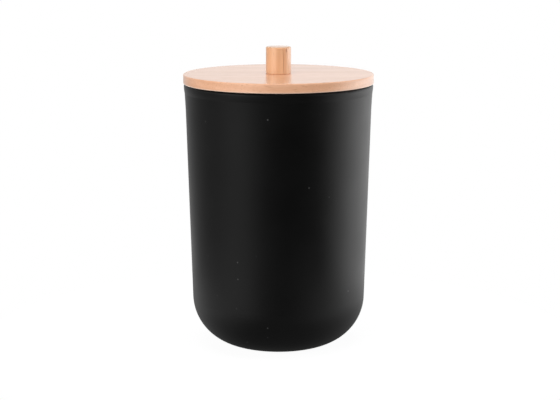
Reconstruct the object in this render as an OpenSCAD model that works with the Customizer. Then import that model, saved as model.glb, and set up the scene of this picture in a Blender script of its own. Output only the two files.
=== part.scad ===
// Round swab jar with a turned wooden lid.
// Millimetres. +Z is up, and the origin is the centre of the foot, on the surface that the jar stands on.

/* [Jar] */
// Height of the jar, from the surface that it stands on to the rim
jar_h = 102.9; // [60:0.1:160]
// Outside diameter that the plain wall would have at the rim
jar_d = 72.9; // [60:0.1:100]
// Draft of the wall, which narrows towards the base, in degrees
draft = 1.67; // [0.2:0.01:3]
// Thickness of the wall
wall_t = 2; // [1.2:0.1:3]
// Thickness of the floor above the foot recess
floor_t = 2.2; // [1:0.1:4]
// Radius of the round between the wall and the base
base_round = 19.4; // [8:0.1:26]
// Depth of the flat that is cut across the base round to stand on
foot_flat = 0.55; // [0.2:0.05:1.5]
// Width of the ring that the jar stands on
foot_ring_w = 2.6; // [1:0.1:5]
// Depth of the recess inside the foot ring
foot_recess = 0.8; // [0.4:0.1:2]
// Diameter of the moulding gate's mark in the recess
gate_d = 2.6; // [1:0.1:5]
// Height of the gate's mark
gate_h = 0.3; // [0.1:0.05:0.4]

/* [Rim] */
// Height over which the wall curves outwards to the rim
flare_h = 12; // [5:0.5:20]
// How far the flare leads the wall outwards at the rim
flare_out = 0.36; // [0.02:0.01:0.8]
// Height of the bead round the rim
bead_h = 3.6; // [2:0.1:5]
// How far the bead stands out from the wall
bead_out = 0.1; // [0.05:0.01:0.5]
// Radius of the rim's outer edge
rim_round = 1.1; // [0.4:0.05:1.2]
// Radius of the rim's inner edge
mouth_round = 0.5; // [0.2:0.05:0.6]

/* [Lid] */
// How far the lid's edge stands out past the bead
lid_over = 0.19; // [0:0.01:6]
// Thickness of the lid's disc
disc_t = 3.65; // [2.5:0.05:8]
// Radius of the disc's top edge
top_round = 0.4; // [0.1:0.05:1]
// Radius of the disc's bottom edge
under_round = 0.3; // [0.1:0.05:1]
// Depth of the plug under the disc
plug_h = 6.5; // [6:0.1:14]
// Gap between the plug and the jar's inner wall, at the plug's foot
plug_gap = 1.2; // [0.6:0.05:2.5]
// Radius of the plug's bottom edge
plug_round = 0.8; // [0.2:0.05:1.2]

/* [Seal] */
// Width of the groove round the plug
groove_w = 3.8; // [3:0.1:4.2]
// Depth of the groove
groove_d = 1.8; // [1:0.1:3]
// Distance from the disc's underside to the groove
groove_drop = 1.1; // [0.6:0.1:1.4]
// Play between the seal and its groove
seal_play = 0.05; // [0.02:0.01:0.2]
// Number of fins on the seal
fins = 3; // [1:1:4]
// Thickness of a fin at its root
fin_root = 0.75; // [0.4:0.05:0.9]
// Thickness of a fin at its tip
fin_tip = 0.35; // [0.2:0.05:0.4]
// Gap between a fin's tip and the jar's inner wall
fin_gap = 0.12; // [0.05:0.01:0.4]

/* [Knob] */
// Diameter of the knob
knob_d = 9.8; // [7:0.1:24]
// Height of the knob above the disc
knob_h = 10.45; // [8:0.05:30]
// Radius of the knob's top edge
knob_round = 0.5; // [0.1:0.05:1.5]
// Chamfer round the knob's foot
knob_chamfer = 0.2; // [0.1:0.05:0.5]

/* [Screw] */
// Diameter of the screw's shank
shank_d = 3; // [2:0.1:4]
// Diameter of the screw's head
head_d = 5.8; // [5:0.1:7.5]
// Height of the straight edge of the head
head_edge = 0.25; // [0.1:0.05:0.5]
// Length of the screw's pointed tip
point_h = 2.4; // [1:0.1:3]
// How far the screw reaches into the knob
screw_bite = 5.85; // [4:0.05:7]
// Space left in the knob past the screw's point
point_play = 0.5; // [0.2:0.1:0.9]
// Play round the shank in the lid's hole
hole_play = 0.2; // [0.05:0.05:0.5]
// Play between the screw and the wood that it seats in
screw_play = 0.08; // [0.02:0.01:0.1]
// Width across the arms of the cross recess
cross_w = 3.2; // [2:0.1:3.6]
// Thickness of each arm of the cross recess
cross_t = 0.75; // [0.5:0.05:1]
// Depth of the cross recess
cross_h = 1.1; // [0.6:0.1:1.3]

/* [Hidden] */
$fn = 180;

// How far a cutting shape runs past the surface that it cuts
past = 1;
// Growth of the wall's radius for each millimetre of height
slope = tan(draft);
// Width of the wall, measured level
wall_level = wall_t / cos(draft);

// Radius of the plain outer wall at height z
function outer_r(z) = jar_d / 2 - (jar_h - z) * slope;
// Radius of the inner wall at height z
function inner_r(z) = outer_r(z) - wall_level;

// Flare: an arc that leaves the plain wall along its line, and starts a hair inside it so that the two cross
flare_sink = 0.002;
flare_foot = jar_h - flare_h;
flare_run = flare_h / cos(draft);
flare_r = flare_run * flare_run / (2 * flare_out) + flare_out / 2;
flare_x = outer_r(flare_foot) + flare_r * cos(draft) - flare_sink;
flare_z = flare_foot - flare_r * sin(draft);
// Radius of the flared wall at height z
function flared_r(z) = flare_x - sqrt(flare_r * flare_r - (z - flare_z) * (z - flare_z));

// Centre of the base round, which touches the drafted wall
base_z = base_round - foot_flat;
base_x = outer_r(base_z) - base_round / cos(draft);
// Height at which the base round meets the wall
base_top = base_z - base_round * sin(draft);
// Radius at which the standing plane cuts the base round
foot_r = base_x + sqrt(base_round * base_round - base_z * base_z);
recess_r = foot_r - foot_ring_w;

// Round inside the jar, which touches the floor and the inner wall
floor_z = foot_recess + floor_t;
inside_round = base_round - wall_t;
inside_z = floor_z + inside_round;
inside_x = inner_r(inside_z) - inside_round / cos(draft);
inside_top = inside_z - inside_round * sin(draft);

// Bead: an arc that stands on the flared wall, and the rim's outer edge, a smaller arc that touches it inside
bead_foot = jar_h - bead_h;
bead_tilt = atan((flared_r(jar_h) - flared_r(bead_foot)) / bead_h);
bead_chord = bead_h / cos(bead_tilt);
bead_r = bead_chord * bead_chord / (8 * bead_out) + bead_out / 2;
bead_x = (flared_r(jar_h) + flared_r(bead_foot)) / 2 - (bead_r - bead_out) * cos(bead_tilt);
bead_z = jar_h - bead_h / 2 + (bead_r - bead_out) * sin(bead_tilt);
rim_z = jar_h - rim_round;
rim_reach = bead_r - rim_round;
rim_x = bead_x + sqrt(rim_reach * rim_reach - (rim_z - bead_z) * (rim_z - bead_z));
rim_touch = bead_z + (rim_z - bead_z) * bead_r / rim_reach;

// Centre of the rim's inner edge, which touches the inner wall
mouth_z = jar_h - mouth_round;
mouth_x = inner_r(mouth_z) + mouth_round / cos(draft);
mouth_touch = mouth_z + mouth_round * sin(draft);

// Heights of the lid: its underside rests on the rim
disc_z = jar_h;
disc_top = disc_z + disc_t;
plug_z = disc_z - plug_h;
lid_r = bead_x + bead_r + lid_over;
plug_r = inner_r(plug_z) - plug_gap;
groove_top = disc_z - groove_drop;
groove_z = groove_top - groove_w;
groove_r = plug_r - groove_d;

// Seal: a band in the groove, flush with the plug, and fins that reach towards the wall
band_z = groove_z + seal_play;
band_h = groove_w - 2 * seal_play;
band_r = groove_r + seal_play;
fin_pitch = band_h / fins;

// Screw, its hole through the lid and its pilot hole in the knob
shank_r = shank_d / 2;
head_r = head_d / 2;
head_cone = head_r - shank_r;
hole_r = shank_r + hole_play;
pilot_r = shank_r + screw_play;
knob_r = knob_d / 2;
point_z = disc_top + screw_bite - point_h;
pilot_h = screw_bite - point_h + point_play;

// A disc of radius r and height h, in section, with rounds of radius low and high at its edges
module rounded_section(r, h, low, high) {
    square([r - low, low]);
    translate([0, low]) square([r, h - low - high]);
    translate([0, h - high]) square([r - high, high]);
    translate([r - low, low]) circle(r = low);
    translate([r - high, h - high]) circle(r = high);
}

// The jar's outside, in section, as if it were solid
module jar_outside() {
    polygon([
        [0, 0],
        [foot_r, 0],
        [outer_r(base_top), base_top],
        [outer_r(bead_foot), bead_foot],
        [0, bead_foot]
    ]);
    intersection() {
        translate([base_x, base_z]) circle(r = base_round);
        square([jar_d, base_top]);
    }
    difference() {
        translate([0, flare_foot]) square([flared_r(bead_foot) + past, bead_foot - flare_foot]);
        translate([flare_x, flare_z]) circle(r = flare_r);
    }
    intersection() {
        translate([bead_x, bead_z]) circle(r = bead_r);
        translate([0, bead_foot]) square([jar_d, rim_touch - bead_foot]);
    }
    translate([0, bead_foot]) square([rim_x, bead_h]);
    translate([rim_x, rim_z]) circle(r = rim_round);
}

// The space inside the jar, in section
module jar_inside() {
    polygon([
        [0, floor_z],
        [inside_x, floor_z],
        [inner_r(inside_top), inside_top],
        [inner_r(mouth_touch), mouth_touch],
        [inner_r(mouth_touch), jar_h + past],
        [0, jar_h + past]
    ]);
    intersection() {
        translate([inside_x, inside_z]) circle(r = inside_round);
        translate([0, floor_z]) square([jar_d, inside_top - floor_z]);
    }
    difference() {
        translate([inside_x, mouth_touch]) square([mouth_x - inside_x, jar_h + past - mouth_touch]);
        translate([mouth_x, mouth_z]) circle(r = mouth_round);
    }
}

// The recess inside the foot ring, in section, with its side sloped at 45 degrees
module foot_hollow() {
    polygon([
        [0, -past],
        [recess_r + past, -past],
        [recess_r - foot_recess, foot_recess],
        [0, foot_recess]
    ]);
}

module jar_body() {
    color([0.07, 0.07, 0.07]) {
        rotate_extrude() difference() {
            jar_outside();
            jar_inside();
            foot_hollow();
        }
        translate([0, 0, foot_recess - gate_h]) cylinder(d = gate_d, h = gate_h);
    }
}

// The lid with its plug, in section, before it is bored
module lid_section() {
    translate([0, disc_z]) rounded_section(lid_r, disc_t, under_round, top_round);
    difference() {
        union() {
            translate([0, plug_z + plug_round]) square([plug_r, plug_h - plug_round]);
            translate([0, plug_z]) square([plug_r - plug_round, plug_round]);
            translate([plug_r - plug_round, plug_z + plug_round]) circle(r = plug_round);
        }
        translate([groove_r, groove_z]) square([groove_d + past, groove_w]);
    }
}

// The space of the screw's head: its straight edge, then its cone down to the shank, each wider by play
module countersink(play) {
    translate([0, 0, -past]) cylinder(r = head_r + play, h = head_edge + past);
    translate([0, 0, head_edge]) cylinder(r1 = head_r + play, r2 = shank_r + play, h = head_cone);
}

module lid_disc() {
    color([0.85, 0.65, 0.48]) difference() {
        rotate_extrude() lid_section();
        translate([0, 0, plug_z - past]) cylinder(r = hole_r, h = plug_h + disc_t + 2 * past);
        translate([0, 0, plug_z]) countersink(screw_play);
    }
}

// The knob in section, standing on zero
module knob_section() {
    polygon([
        [0, 0],
        [knob_r - knob_chamfer, 0],
        [knob_r, knob_chamfer],
        [knob_r, knob_h - knob_round],
        [0, knob_h - knob_round]
    ]);
    translate([0, knob_h - knob_round]) square([knob_r - knob_round, knob_round]);
    translate([knob_r - knob_round, knob_h - knob_round]) circle(r = knob_round);
}

module lid_knob() {
    color([0.88, 0.66, 0.5]) translate([0, 0, disc_top]) difference() {
        rotate_extrude() knob_section();
        translate([0, 0, -past]) cylinder(r = pilot_r, h = pilot_h + past);
        translate([0, 0, pilot_h]) cylinder(r1 = pilot_r, r2 = 0, h = point_h);
    }
}

module knob_screw() {
    color([0.72, 0.72, 0.74]) difference() {
        union() {
            translate([0, 0, plug_z]) cylinder(r = head_r, h = head_edge);
            translate([0, 0, plug_z + head_edge]) cylinder(r1 = head_r, r2 = shank_r, h = head_cone);
            translate([0, 0, plug_z + head_edge]) cylinder(r = shank_r, h = point_z - plug_z - head_edge);
            translate([0, 0, point_z]) cylinder(r1 = shank_r, r2 = 0, h = point_h);
        }
        for (turn = [0, 90]) rotate([0, 0, turn])
            translate([-cross_w / 2, -cross_t / 2, plug_z - past]) cube([cross_w, cross_t, cross_h + past]);
    }
}

// One fin of the seal, in section, from inside the band to a tip that follows the jar's inner wall
module fin(z) {
    tip_r = inner_r(z) - fin_gap;
    tip_x = tip_r - fin_tip / 2;
    root_x = plug_r - fin_root / 2;
    polygon([
        [root_x, z - fin_root / 2],
        [tip_x, z - fin_tip / 2],
        [tip_x, z + fin_tip / 2],
        [root_x, z + fin_root / 2]
    ]);
    translate([tip_x, z]) circle(d = fin_tip, $fn = 48);
}

module seal_ring() {
    color([0.9, 0.9, 0.88]) rotate_extrude() {
        translate([band_r, band_z]) square([plug_r - band_r, band_h]);
        for (i = [0 : fins - 1]) fin(band_z + (i + 0.5) * fin_pitch);
    }
}

jar_body();
lid_disc();
lid_knob();
knob_screw();
seal_ring();
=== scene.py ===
"""The looks of a round swab jar: black moulded plastic, a turned wooden lid with a dowel knob, a seal and a screw.

Everything is in metres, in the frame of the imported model, with +Z up and the camera on the -Y side.
"""

import math

import bmesh
import bpy
from mathutils import Matrix, Vector


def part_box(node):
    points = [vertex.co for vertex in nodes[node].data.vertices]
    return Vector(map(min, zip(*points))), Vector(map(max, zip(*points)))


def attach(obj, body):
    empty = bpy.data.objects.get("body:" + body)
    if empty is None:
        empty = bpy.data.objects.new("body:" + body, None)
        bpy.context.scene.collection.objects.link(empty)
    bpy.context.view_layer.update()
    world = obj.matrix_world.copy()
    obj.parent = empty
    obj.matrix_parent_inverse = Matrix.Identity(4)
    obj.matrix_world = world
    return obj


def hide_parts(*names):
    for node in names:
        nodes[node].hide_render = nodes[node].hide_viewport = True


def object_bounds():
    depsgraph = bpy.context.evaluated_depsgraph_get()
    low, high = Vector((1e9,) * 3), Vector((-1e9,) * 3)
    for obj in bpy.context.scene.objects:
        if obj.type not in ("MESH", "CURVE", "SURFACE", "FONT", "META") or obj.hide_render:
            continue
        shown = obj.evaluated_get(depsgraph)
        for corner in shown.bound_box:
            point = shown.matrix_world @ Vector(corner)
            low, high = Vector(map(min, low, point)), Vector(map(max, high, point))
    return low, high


MM = 0.001

# Camera, as the photograph was taken: 560 pixels wide, the jar's axis a little left of the middle
PHOTO_WIDTH_PX = 560
FOCAL_PX = 1541
CAMERA_DISTANCE = 0.5974
CAMERA_HEIGHT = 0.1691
CAMERA_PITCH = math.radians(10.674)
AXIS_LEFT_PX = 1.5
SENSOR_MM = 36

# The studio round the jar. Bearing in degrees, from the camera's side towards +X, then the radiance above, at
# and below the horizon, where 1 is white. The camera's side is dark, a large softbox stands on the right and a
# small one on the left, and the backdrop is white.
STUDIO = [
    (-180, 1.0, 1.0, 1.1),
    (-150, 0.55, 0.5, 1.5),
    (-125, 0.3, 0.25, 0.45),
    (-100, 0.35, 0.15, 0.35),
    (-80, 0.8, 0.15, 0.45),
    (-62, 1.8, 0.45, 0.4),
    (-45, 1.4, 0.7, 0.25),
    (-30, 0.5, 0.35, 0.12),
    (-15, 0.05, 0.07, 0.12),
    (15, 0.0, 0.0, 0.12),
    (30, 0.0, 0.0, 0.1),
    (45, 0.2, 0.0, 0.05),
    (60, 0.8, 0.0, 0.05),
    (75, 1.1, 0.4, 0.8),
    (90, 1.2, 1.35, 1.4),
    (105, 1.2, 2.2, 1.1),
    (125, 1.2, 1.8, 0.2),
    (150, 1.1, 1.1, 0.2),
    (180, 1.0, 1.0, 1.1),
]
CEILING = 0.1

# Heights of a direction, as its Z, over which the studio passes from each of its rows to the next one up
BELOW_TO_LEVEL = (-0.36, -0.2)
LEVEL_TO_ABOVE = (-0.02, 0.14)
ABOVE_TO_CEILING = (0.3, 0.5)

# Lamps, which light the matt part of surfaces and aren't seen in gloss: their distance in metres, then for each its
# bearing as above and its height in degrees, its width and height in metres, and its radiance
LAMP_DISTANCE = 1.2
LAMPS = {
    "key_softbox": dict(bearing=-36, rise=15, width=1.0, height=0.8, radiance=5.0),
    "side_softbox": dict(bearing=95, rise=15, width=1.0, height=0.8, radiance=3.5),
    "top_softbox": dict(bearing=0, rise=85, width=1.0, height=1.0, radiance=3.0),
}

# The floor: its grey, its glow to the camera and through glass, its glow in gloss at the jar and to the sides, and
# how far from the jar's axis the one gives way to the other. The glow in gloss is painted shade near the jar and
# painted light to the sides, as the jar's reflections show them.
FLOOR_GREY = 0.08
FLOOR_WHITE = 0.95
FLOOR_PAINTED_SHADE_GLOW = 0.08
FLOOR_PAINTED_LIGHT_GLOW = 0.65
FLOOR_PAINTED_GLOW_SPAN = (0.01, 0.09)

# The floor's ring: its outer and inner radius, its facets, and how far it lies under the foot
FLOOR_RADIUS = 0.12
FOOT_R = 19 * MM
FLOOR_SIDES = 96
FLOOR_DROP = 0.05 * MM

# The plastic: its darkest and lightest tone and its dust's
PLASTIC_DARK = 0.002
PLASTIC_LIGHT = 0.003
DUST_GREY = 0.12

# The wood: the scale of its pattern along the grain, how far off its growth rings centre, and its tones. The lid's
# are pinkish and the knob's more orange.
ALONG_GRAIN = 0.07
LID_PITH = (0, 0.01, 0.02)
KNOB_PITH = (0.012, 0.006, 0)
LID_PALE = (0.86, 0.49, 0.31, 1)
LID_DEEP = (0.73, 0.38, 0.22, 1)
KNOB_PALE = (0.80, 0.49, 0.29, 1)
KNOB_DEEP = (0.66, 0.36, 0.19, 1)
FIBRE = (0.66, 0.34, 0.20, 1)
DARK_GRAIN = (0.42, 0.19, 0.09, 1)
# A pale tone painted onto the lid's lower rounded edge as a highlight, where light catches that edge
PAINTED_EDGE_HIGHLIGHT = (0.92, 0.74, 0.62, 1)

# Dark marks on the knob's front: x, depth of the middle under the knob's top, half width, half height, strength
KNOB_MARKS = [
    (1.96 * MM, 5.5 * MM, 0.16 * MM, 5.8 * MM, 0.7),
    (3.06 * MM, 1.2 * MM, 0.32 * MM, 1.0 * MM, 0.9),
]

# The darker and the lighter tone of the seal's silicone and of the screw's zinc
SILICONE = ((0.70, 0.70, 0.67, 1), (0.80, 0.80, 0.78, 1))
ZINC = ((0.55, 0.56, 0.58, 1), (0.68, 0.69, 0.70, 1))

# The screw: its facets round and its rows of points in a turn of the thread, the thread's crest and root, its pitch
# and the crest's share of it, the edge of the head, the point, the cross recess and how far its cutter stands out,
# the distance under which points are joined, and the angle from which an edge stays sharp
SCREW_SIDES = 48
ROWS_PER_TURN = 14
CREST_R = 1.5 * MM
ROOT_R = 1.05 * MM
THREAD_PITCH = 1.35 * MM
RIDGE_SHARE = 0.45
HEAD_EDGE = 0.25 * MM
POINT_LENGTH = 2.4 * MM
CROSS_WIDTH = 3.2 * MM
CROSS_FOOT = 2.4 * MM
CROSS_ARM = 0.75 * MM
CROSS_DEPTH = 1.1 * MM
CROSS_PAST = 0.2 * MM
WELD = 0.001 * MM
SHARP_ANGLE = math.radians(40)


def node(tree, kind, sockets=None, **settings):
    """A new shader node. sockets maps an input's name or number to a value or to the output that feeds it."""
    made = tree.nodes.new(kind)
    for key, value in settings.items():
        setattr(made, key, value)
    for key, value in (sockets or {}).items():
        if isinstance(value, bpy.types.NodeSocket):
            tree.links.new(value, made.inputs[key])
        else:
            made.inputs[key].default_value = value
    return made


def math_node(tree, operation, *values):
    return node(tree, "ShaderNodeMath", dict(enumerate(values)), operation=operation).outputs[0]


def mix_colour(tree, factor, a, b):
    """The colour a where factor is 0, and b where it is 1."""
    return node(tree, "ShaderNodeMix", {0: factor, 6: a, 7: b}, data_type="RGBA").outputs[2]


def blend(tree, factor, a, b):
    """The number a where factor is 0, and b where it is 1."""
    return node(tree, "ShaderNodeMix", {0: factor, 2: a, 3: b}, data_type="FLOAT").outputs[0]


def ramp(tree, value, low, high, to_low=0.0, to_high=1.0):
    """value, carried from low..high to to_low..to_high and held at both ends, with a smooth step between."""
    sockets = {"Value": value, "From Min": low, "From Max": high, "To Min": to_low, "To Max": to_high}
    return node(tree, "ShaderNodeMapRange", sockets, interpolation_type="SMOOTHSTEP").outputs[0]


def grey(level):
    return (level, level, level, 1)


def new_material(name):
    material = bpy.data.materials.new(name)
    material.use_nodes = True
    material.node_tree.nodes.clear()
    return material, material.node_tree


def finish_material(tree, shader):
    node(tree, "ShaderNodeOutputMaterial", {"Surface": shader.outputs[0]})


def noise(tree, vector, scale, detail=2.0, roughness=0.5):
    sockets = {"Vector": vector, "Scale": scale, "Detail": detail, "Roughness": roughness}
    return node(tree, "ShaderNodeTexNoise", sockets).outputs["Fac"]


def bump(tree, height, strength, distance):
    sockets = {"Height": height, "Strength": strength, "Distance": distance}
    return node(tree, "ShaderNodeBump", sockets).outputs[0]


def black_plastic():
    """Matte moulded plastic: a fine spark-eroded grain, slightly uneven gloss, and a few specks of dust."""
    material, tree = new_material("black_plastic")
    place = node(tree, "ShaderNodeTexCoord").outputs["Object"]
    cloud = noise(tree, place, scale=45, detail=3)
    grain = noise(tree, place, scale=3200, detail=2, roughness=0.6)
    specks = node(tree, "ShaderNodeTexVoronoi", {"Vector": place, "Scale": 260.0})
    chosen = node(tree, "ShaderNodeSeparateColor", {0: specks.outputs["Color"]}).outputs[0]
    dust = math_node(
        tree,
        "MULTIPLY",
        ramp(tree, specks.outputs["Distance"], 0.05, 0.11, 1.0, 0.0),
        ramp(tree, chosen, 0.8, 1.0, 0.0, 0.6),
    )
    tone = mix_colour(tree, ramp(tree, cloud, 0.3, 0.7), grey(PLASTIC_DARK), grey(PLASTIC_LIGHT))
    shader = node(
        tree,
        "ShaderNodeBsdfPrincipled",
        {
            "Base Color": mix_colour(tree, dust, tone, grey(DUST_GREY)),
            "Roughness": ramp(tree, cloud, 0.25, 0.75, 0.36, 0.42),
            "IOR": 1.43,
            "Normal": bump(tree, grain, strength=0.06, distance=0.05 * MM),
        },
    )
    finish_material(tree, shader)
    return material


def oval(tree, place, x, z, half_width, half_height):
    """1 in an upright oval on the -Y side of a piece, with a soft edge, and 0 elsewhere."""
    parts = node(tree, "ShaderNodeSeparateXYZ", {0: place}).outputs
    across = math_node(tree, "DIVIDE", math_node(tree, "SUBTRACT", parts["X"], x), half_width)
    along = math_node(tree, "DIVIDE", math_node(tree, "SUBTRACT", parts["Z"], z), half_height)
    apart = math_node(tree, "ADD", math_node(tree, "POWER", across, 2.0), math_node(tree, "POWER", along, 2.0))
    inside = ramp(tree, apart, 0.3, 1.0, 1.0, 0.0)
    return math_node(tree, "MULTIPLY", inside, math_node(tree, "LESS_THAN", parts["Y"], 0.0))


def beech(name, stretch, pith, ring_axis, pale, deep, painted_highlight_edge=None, marks=()):
    """Pale beech under a thin satin varnish.

    stretch scales the three axes, and is small along the grain. pith is how far off the growth rings centre. Just
    above the given edge height the wood gets a pale band, a painted highlight on its lower rounded edge, and each
    mark is a dark oval: x, z, half width, half height and strength.
    """
    material, tree = new_material(name)
    place = node(tree, "ShaderNodeTexCoord").outputs["Object"]
    along = node(tree, "ShaderNodeMapping", {"Vector": place, "Scale": stretch}).outputs[0]
    from_pith = node(tree, "ShaderNodeMapping", {"Vector": along, "Location": pith}).outputs[0]
    rings = node(
        tree,
        "ShaderNodeTexWave",
        {"Vector": from_pith, "Scale": 95.0, "Distortion": 3.0, "Detail": 2.0, "Detail Scale": 1.2},
        wave_type="RINGS",
        rings_direction=ring_axis,
        wave_profile="SIN",
    ).outputs["Fac"]
    bands = noise(tree, along, scale=260, detail=3)
    fibres = noise(tree, along, scale=2600, detail=3, roughness=0.65)
    flecks = ramp(tree, noise(tree, along, scale=2400, detail=1), 0.6, 0.72)
    wood = mix_colour(tree, ramp(tree, rings, 0.1, 0.95, 0.0, 0.5), pale, deep)
    wood = mix_colour(tree, ramp(tree, bands, 0.35, 0.7, 0.0, 0.45), wood, deep)
    wood = mix_colour(tree, ramp(tree, fibres, 0.35, 0.7, 0.0, 0.35), wood, FIBRE)
    wood = mix_colour(tree, math_node(tree, "MULTIPLY", flecks, 0.35), wood, DARK_GRAIN)
    for *shape, strength in marks:
        mark = math_node(tree, "MULTIPLY", oval(tree, place, *shape), strength)
        wood = mix_colour(tree, mark, wood, DARK_GRAIN)
    # Painted highlight: a pale band just above the lid's lower edge, standing in for the light that catches the
    # rounded edge
    if painted_highlight_edge is not None:
        height = node(tree, "ShaderNodeSeparateXYZ", {0: place}).outputs["Z"]
        edge = ramp(tree, height, painted_highlight_edge + 0.1 * MM, painted_highlight_edge + 0.6 * MM, to_low=0.6, to_high=0.0)
        above_plug = math_node(tree, "GREATER_THAN", height, painted_highlight_edge - 0.1 * MM)
        wood = mix_colour(tree, math_node(tree, "MULTIPLY", edge, above_plug), wood, PAINTED_EDGE_HIGHLIGHT)
    surface = math_node(tree, "SUBTRACT", fibres, math_node(tree, "MULTIPLY", flecks, 0.5))
    shader = node(
        tree,
        "ShaderNodeBsdfPrincipled",
        {
            "Base Color": wood,
            "Roughness": ramp(tree, fibres, 0.3, 0.7, 0.28, 0.36),
            "IOR": 1.5,
            "Normal": bump(tree, surface, strength=0.12, distance=0.04 * MM),
            "Coat Weight": 0.9,
            "Coat Roughness": 0.25,
            "Coat IOR": 1.5,
        },
    )
    finish_material(tree, shader)
    return material


def silicone():
    """Translucent white silicone with a faint bloom."""
    material, tree = new_material("silicone")
    place = node(tree, "ShaderNodeTexCoord").outputs["Object"]
    bloom = noise(tree, place, scale=300, detail=3)
    shader = node(
        tree,
        "ShaderNodeBsdfPrincipled",
        {
            "Base Color": mix_colour(tree, bloom, *SILICONE),
            "Roughness": ramp(tree, bloom, 0.3, 0.7, 0.35, 0.5),
            "IOR": 1.41,
            "Subsurface Weight": 0.4,
            "Subsurface Radius": (1.5, 1.4, 1.2),
            "Subsurface Scale": 1 * MM,
            "Normal": bump(tree, bloom, strength=0.05, distance=0.05 * MM),
        },
    )
    finish_material(tree, shader)
    return material


def zinc_steel():
    """Bright zinc plate with fine turning marks."""
    material, tree = new_material("zinc_steel")
    place = node(tree, "ShaderNodeTexCoord").outputs["Object"]
    across = node(tree, "ShaderNodeMapping", {"Vector": place, "Scale": (0.1, 0.1, 1)}).outputs[0]
    marks = noise(tree, across, scale=6000, detail=2)
    patches = noise(tree, place, scale=900, detail=2)
    shader = node(
        tree,
        "ShaderNodeBsdfPrincipled",
        {
            "Base Color": mix_colour(tree, patches, *ZINC),
            "Metallic": 1.0,
            "Roughness": ramp(tree, patches, 0.3, 0.7, 0.25, 0.4),
            "Normal": bump(tree, marks, strength=0.1, distance=0.02 * MM),
        },
    )
    finish_material(tree, shader)
    return material


def white_floor():
    """A pale floor that glows enough to be white to the camera where the jar doesn't shade it.

    In gloss its glow is dim at the jar, a painted shade, and bright at both sides, a painted light. Its back is
    clear.
    """
    material, tree = new_material("white_floor")
    rays = node(tree, "ShaderNodeLightPath").outputs
    place = node(tree, "ShaderNodeTexCoord").outputs["Object"]
    # Painted shade and light in gloss: the glow that reflections see is dim near the jar's axis and bright to the
    # sides
    aside = math_node(tree, "ABSOLUTE", node(tree, "ShaderNodeSeparateXYZ", {0: place}).outputs["X"])
    painted_gloss_glow = ramp(tree, aside, *FLOOR_PAINTED_GLOW_SPAN, FLOOR_PAINTED_SHADE_GLOW, FLOOR_PAINTED_LIGHT_GLOW)
    seen = math_node(tree, "MAXIMUM", rays["Is Camera Ray"], rays["Is Transmission Ray"])
    glow = math_node(
        tree,
        "MAXIMUM",
        math_node(tree, "MULTIPLY", seen, FLOOR_WHITE),
        math_node(tree, "MULTIPLY", rays["Is Glossy Ray"], painted_gloss_glow),
    )
    paper = node(tree, "ShaderNodeBsdfDiffuse", {"Color": grey(FLOOR_GREY)})
    light = node(tree, "ShaderNodeEmission", {"Color": grey(1), "Strength": glow})
    above = node(tree, "ShaderNodeAddShader", {0: paper.outputs[0], 1: light.outputs[0]})
    below = node(tree, "ShaderNodeBsdfTransparent")
    behind = node(tree, "ShaderNodeNewGeometry").outputs["Backfacing"]
    finish_material(tree, node(tree, "ShaderNodeMixShader", {0: behind, 1: above.outputs[0], 2: below.outputs[0]}))
    return material


def dress(piece, material):
    """Gives a piece its material, as the only one."""
    piece.data.materials.clear()
    piece.data.materials.append(material)


def screw_radius(height, turn, length, head_r):
    """Radius of the screw at a height above its head's face and at an angle in turns: head, cone, then thread."""
    cone_end = HEAD_EDGE + head_r - CREST_R
    if height <= HEAD_EDGE:
        return head_r
    to_tip = min(1.0, (length - height) / POINT_LENGTH)
    ridge = abs((height / THREAD_PITCH - turn + 0.5) % 1 - 0.5) / (RIDGE_SHARE / 2)
    thread = (ROOT_R + (CREST_R - ROOT_R) * max(0.0, 1 - ridge)) * to_tip
    if height < cone_end:
        return max(thread, head_r - (height - HEAD_EDGE))
    return thread


def round_point(radius, turn, z):
    """The point at a radius and an angle in turns."""
    angle = 2 * math.pi * turn
    return radius * math.cos(angle), radius * math.sin(angle), z


def make_screw(name, low, high):
    """A threaded countersunk screw that stands head down in the box from low to high."""
    length = high.z - low.z
    head_r = high.x
    rows = round(length / THREAD_PITCH * ROWS_PER_TURN)
    # A row just past the head's edge would make slivers, so the first stands a little further on
    past_edge = [length * row / rows for row in range(1, rows) if length * row / rows > HEAD_EDGE * 1.2]
    made = bmesh.new()
    rings = []
    for height in [0.0, HEAD_EDGE] + past_edge:
        ring = []
        for side in range(SCREW_SIDES):
            radius = screw_radius(height, side / SCREW_SIDES, length, head_r)
            ring.append(made.verts.new(round_point(radius, side / SCREW_SIDES, low.z + height)))
        rings.append(ring)
    for below, above in zip(rings, rings[1:]):
        for side in range(SCREW_SIDES):
            after = (side + 1) % SCREW_SIDES
            made.faces.new((below[side], below[after], above[after], above[side]))
    made.faces.new(reversed(rings[0]))
    tip = made.verts.new((0, 0, high.z))
    for side in range(SCREW_SIDES):
        made.faces.new((rings[-1][side], rings[-1][(side + 1) % SCREW_SIDES], tip))
    screw = mesh_object(name, made)
    cutter = make_cross(low.z)
    cut = screw.modifiers.new("cross recess", "BOOLEAN")
    cut.object = cutter
    cut.operation = "DIFFERENCE"
    cut.solver = "EXACT"
    cut.use_self = True
    settle(screw)
    bpy.data.objects.remove(cutter)
    return screw


def make_cross(face_z):
    """The screwdriver's cross, which narrows with depth, to be cut into the screw's face."""
    made = bmesh.new()
    for turn in (0, math.pi / 2):
        corners = []
        for z, half in ((face_z - CROSS_PAST, CROSS_WIDTH / 2), (face_z + CROSS_DEPTH, CROSS_FOOT / 2)):
            for x, y in ((-1, -1), (1, -1), (1, 1), (-1, 1)):
                corners.append(made.verts.new((x * half, y * CROSS_ARM / 2, z)))
        arm = bmesh.ops.convex_hull(made, input=corners)
        spun = [v for v in arm["geom"] if isinstance(v, bmesh.types.BMVert)]
        bmesh.ops.rotate(made, verts=spun, cent=(0, 0, 0), matrix=Matrix.Rotation(turn, 3, "Z"))
    return mesh_object("cross_cutter", made)


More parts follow.
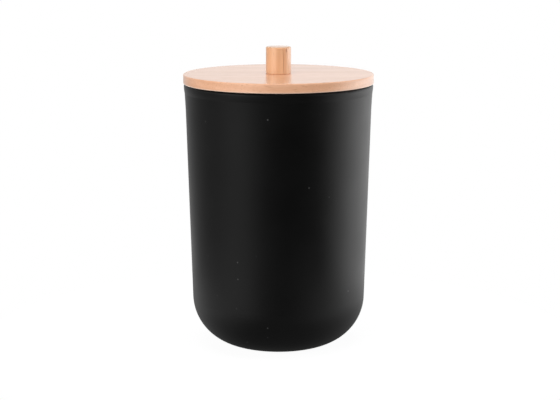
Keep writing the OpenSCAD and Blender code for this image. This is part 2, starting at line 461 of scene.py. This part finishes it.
def mesh_object(name, made):
    """A scene object of a finished bmesh."""
    mesh = bpy.data.meshes.new(name)
    made.to_mesh(mesh)
    made.free()
    thing = bpy.data.objects.new(name, mesh)
    bpy.context.scene.collection.objects.link(thing)
    return thing


def settle(thing):
    """Applies the modifiers, clears slivers and shades the mesh smooth, with its sharp edges kept."""
    shape = thing.evaluated_get(bpy.context.evaluated_depsgraph_get())
    mesh = bpy.data.meshes.new_from_object(shape)
    thing.modifiers.clear()
    thing.data = mesh
    made = bmesh.new()
    made.from_mesh(mesh)
    bmesh.ops.remove_doubles(made, verts=made.verts, dist=WELD)
    bmesh.ops.dissolve_degenerate(made, dist=WELD, edges=made.edges)
    bmesh.ops.triangulate(made, faces=made.faces)
    bmesh.ops.dissolve_degenerate(made, dist=WELD, edges=made.edges)
    made.to_mesh(mesh)
    made.free()
    mesh.shade_smooth()
    mesh.set_sharp_from_angle(angle=SHARP_ANGLE)


def make_camera():
    """The scene's camera, placed and turned as the photograph was taken."""
    data = bpy.data.cameras.new("camera")
    data.sensor_width = SENSOR_MM
    data.lens = FOCAL_PX * SENSOR_MM / PHOTO_WIDTH_PX
    data.shift_x = AXIS_LEFT_PX / PHOTO_WIDTH_PX
    data.clip_start = 0.01
    camera = bpy.data.objects.new("camera", data)
    camera.location = (0, -CAMERA_DISTANCE, CAMERA_HEIGHT)
    camera.rotation_euler = (math.pi / 2 - CAMERA_PITCH, 0, 0)
    bpy.context.scene.collection.objects.link(camera)
    bpy.context.scene.camera = camera


def make_lamp(name, aim, bearing, rise, width, height, radiance):
    """A flat lamp that faces aim."""
    data = bpy.data.lights.new(name, "AREA")
    data.shape = "RECTANGLE"
    data.size = width
    data.size_y = height
    data.energy = radiance * math.pi * width * height
    lamp = bpy.data.objects.new(name, data)
    bearing, rise = math.radians(bearing), math.radians(rise)
    away = Vector((math.sin(bearing) * math.cos(rise), -math.cos(bearing) * math.cos(rise), math.sin(rise)))
    lamp.location = aim + away * LAMP_DISTANCE
    lamp.rotation_euler = away.to_track_quat("Z", "Y").to_euler()
    lamp.visible_camera = False
    lamp.visible_glossy = False
    bpy.context.scene.collection.objects.link(lamp)


def make_world():
    """White to the camera and through glass. To the rest it is the studio, so that gloss shows its backdrop too."""
    world = bpy.data.worlds.new("studio")
    world.use_nodes = True
    tree = world.node_tree
    tree.nodes.clear()
    rays = node(tree, "ShaderNodeLightPath").outputs
    direction = node(tree, "ShaderNodeTexCoord").outputs["Generated"]
    parts = node(tree, "ShaderNodeSeparateXYZ", {0: direction}).outputs
    bearing = math_node(tree, "ARCTAN2", parts["X"], math_node(tree, "MULTIPLY", parts["Y"], -1.0))
    turn = node(tree, "ShaderNodeMapRange", {"Value": bearing, "From Min": -math.pi, "From Max": math.pi}).outputs[0]
    ring = node(tree, "ShaderNodeValToRGB", {0: turn})
    stops = ring.color_ramp.elements
    ring.color_ramp.interpolation = "EASE"
    while len(stops) < len(STUDIO):
        stops.new(0.5)
    for stop, (degrees, above, level, below) in zip(stops, STUDIO):
        stop.position = (degrees + 180) / 360
        stop.color = (above, level, below, 1)
    above, level, below = node(tree, "ShaderNodeSeparateColor", {0: ring.outputs[0]}).outputs
    studio = blend(tree, ramp(tree, parts["Z"], *BELOW_TO_LEVEL), below, level)
    studio = blend(tree, ramp(tree, parts["Z"], *LEVEL_TO_ABOVE), studio, above)
    studio = blend(tree, ramp(tree, parts["Z"], *ABOVE_TO_CEILING), studio, CEILING)
    white = math_node(tree, "MAXIMUM", rays["Is Camera Ray"], rays["Is Transmission Ray"])
    seen = blend(tree, white, studio, 1.0)
    background = node(tree, "ShaderNodeBackground", {"Color": grey(1), "Strength": seen})
    node(tree, "ShaderNodeOutputWorld", {"Surface": background.outputs[0]})
    bpy.context.scene.world = world


def make_floor():
    """A flat ring round the foot. Its inside is open and it can't be seen from below, so the underside shows."""
    made = bmesh.new()
    for side in range(FLOOR_SIDES):
        corners = []
        for radius, step in ((FOOT_R, side), (FLOOR_RADIUS, side), (FLOOR_RADIUS, side + 1), (FOOT_R, side + 1)):
            corners.append(made.verts.new(round_point(radius, step / FLOOR_SIDES, -FLOOR_DROP)))
        made.faces.new(corners)
    floor = mesh_object("floor", made)
    floor.data.materials.append(white_floor())


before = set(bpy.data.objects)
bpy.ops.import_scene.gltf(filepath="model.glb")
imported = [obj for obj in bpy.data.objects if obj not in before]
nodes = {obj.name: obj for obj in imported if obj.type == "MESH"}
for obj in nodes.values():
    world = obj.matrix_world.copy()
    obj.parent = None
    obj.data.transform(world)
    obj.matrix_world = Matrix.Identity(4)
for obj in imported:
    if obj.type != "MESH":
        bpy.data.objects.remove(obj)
cad_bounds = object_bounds()
bpy.context.scene.view_settings.view_transform = "Standard"

dress(nodes["jar_body"], black_plastic())
knob_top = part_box("lid_knob")[1].z
rim_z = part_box("jar_body")[1].z
lid_wood = beech("lid_beech", (ALONG_GRAIN, 1, 1), LID_PITH, "X", LID_PALE, LID_DEEP, painted_highlight_edge=rim_z)
knob_marks = [(x, knob_top - depth, *rest) for x, depth, *rest in KNOB_MARKS]
knob_wood = beech("knob_beech", (1, 1, ALONG_GRAIN), KNOB_PITH, "Z", KNOB_PALE, KNOB_DEEP, marks=knob_marks)
dress(nodes["lid_disc"], lid_wood)
dress(nodes["lid_knob"], knob_wood)
dress(nodes["seal_ring"], silicone())
screw = make_screw("threaded_screw", *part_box("knob_screw"))
dress(screw, zinc_steel())
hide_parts("knob_screw")
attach(screw, "lid")

make_camera()
make_world()
make_floor()
low, high = cad_bounds
centre = Vector((0, 0, (low.z + high.z) / 2))
for lamp_name, lamp_place in LAMPS.items():
    make_lamp(lamp_name, centre, **lamp_place)
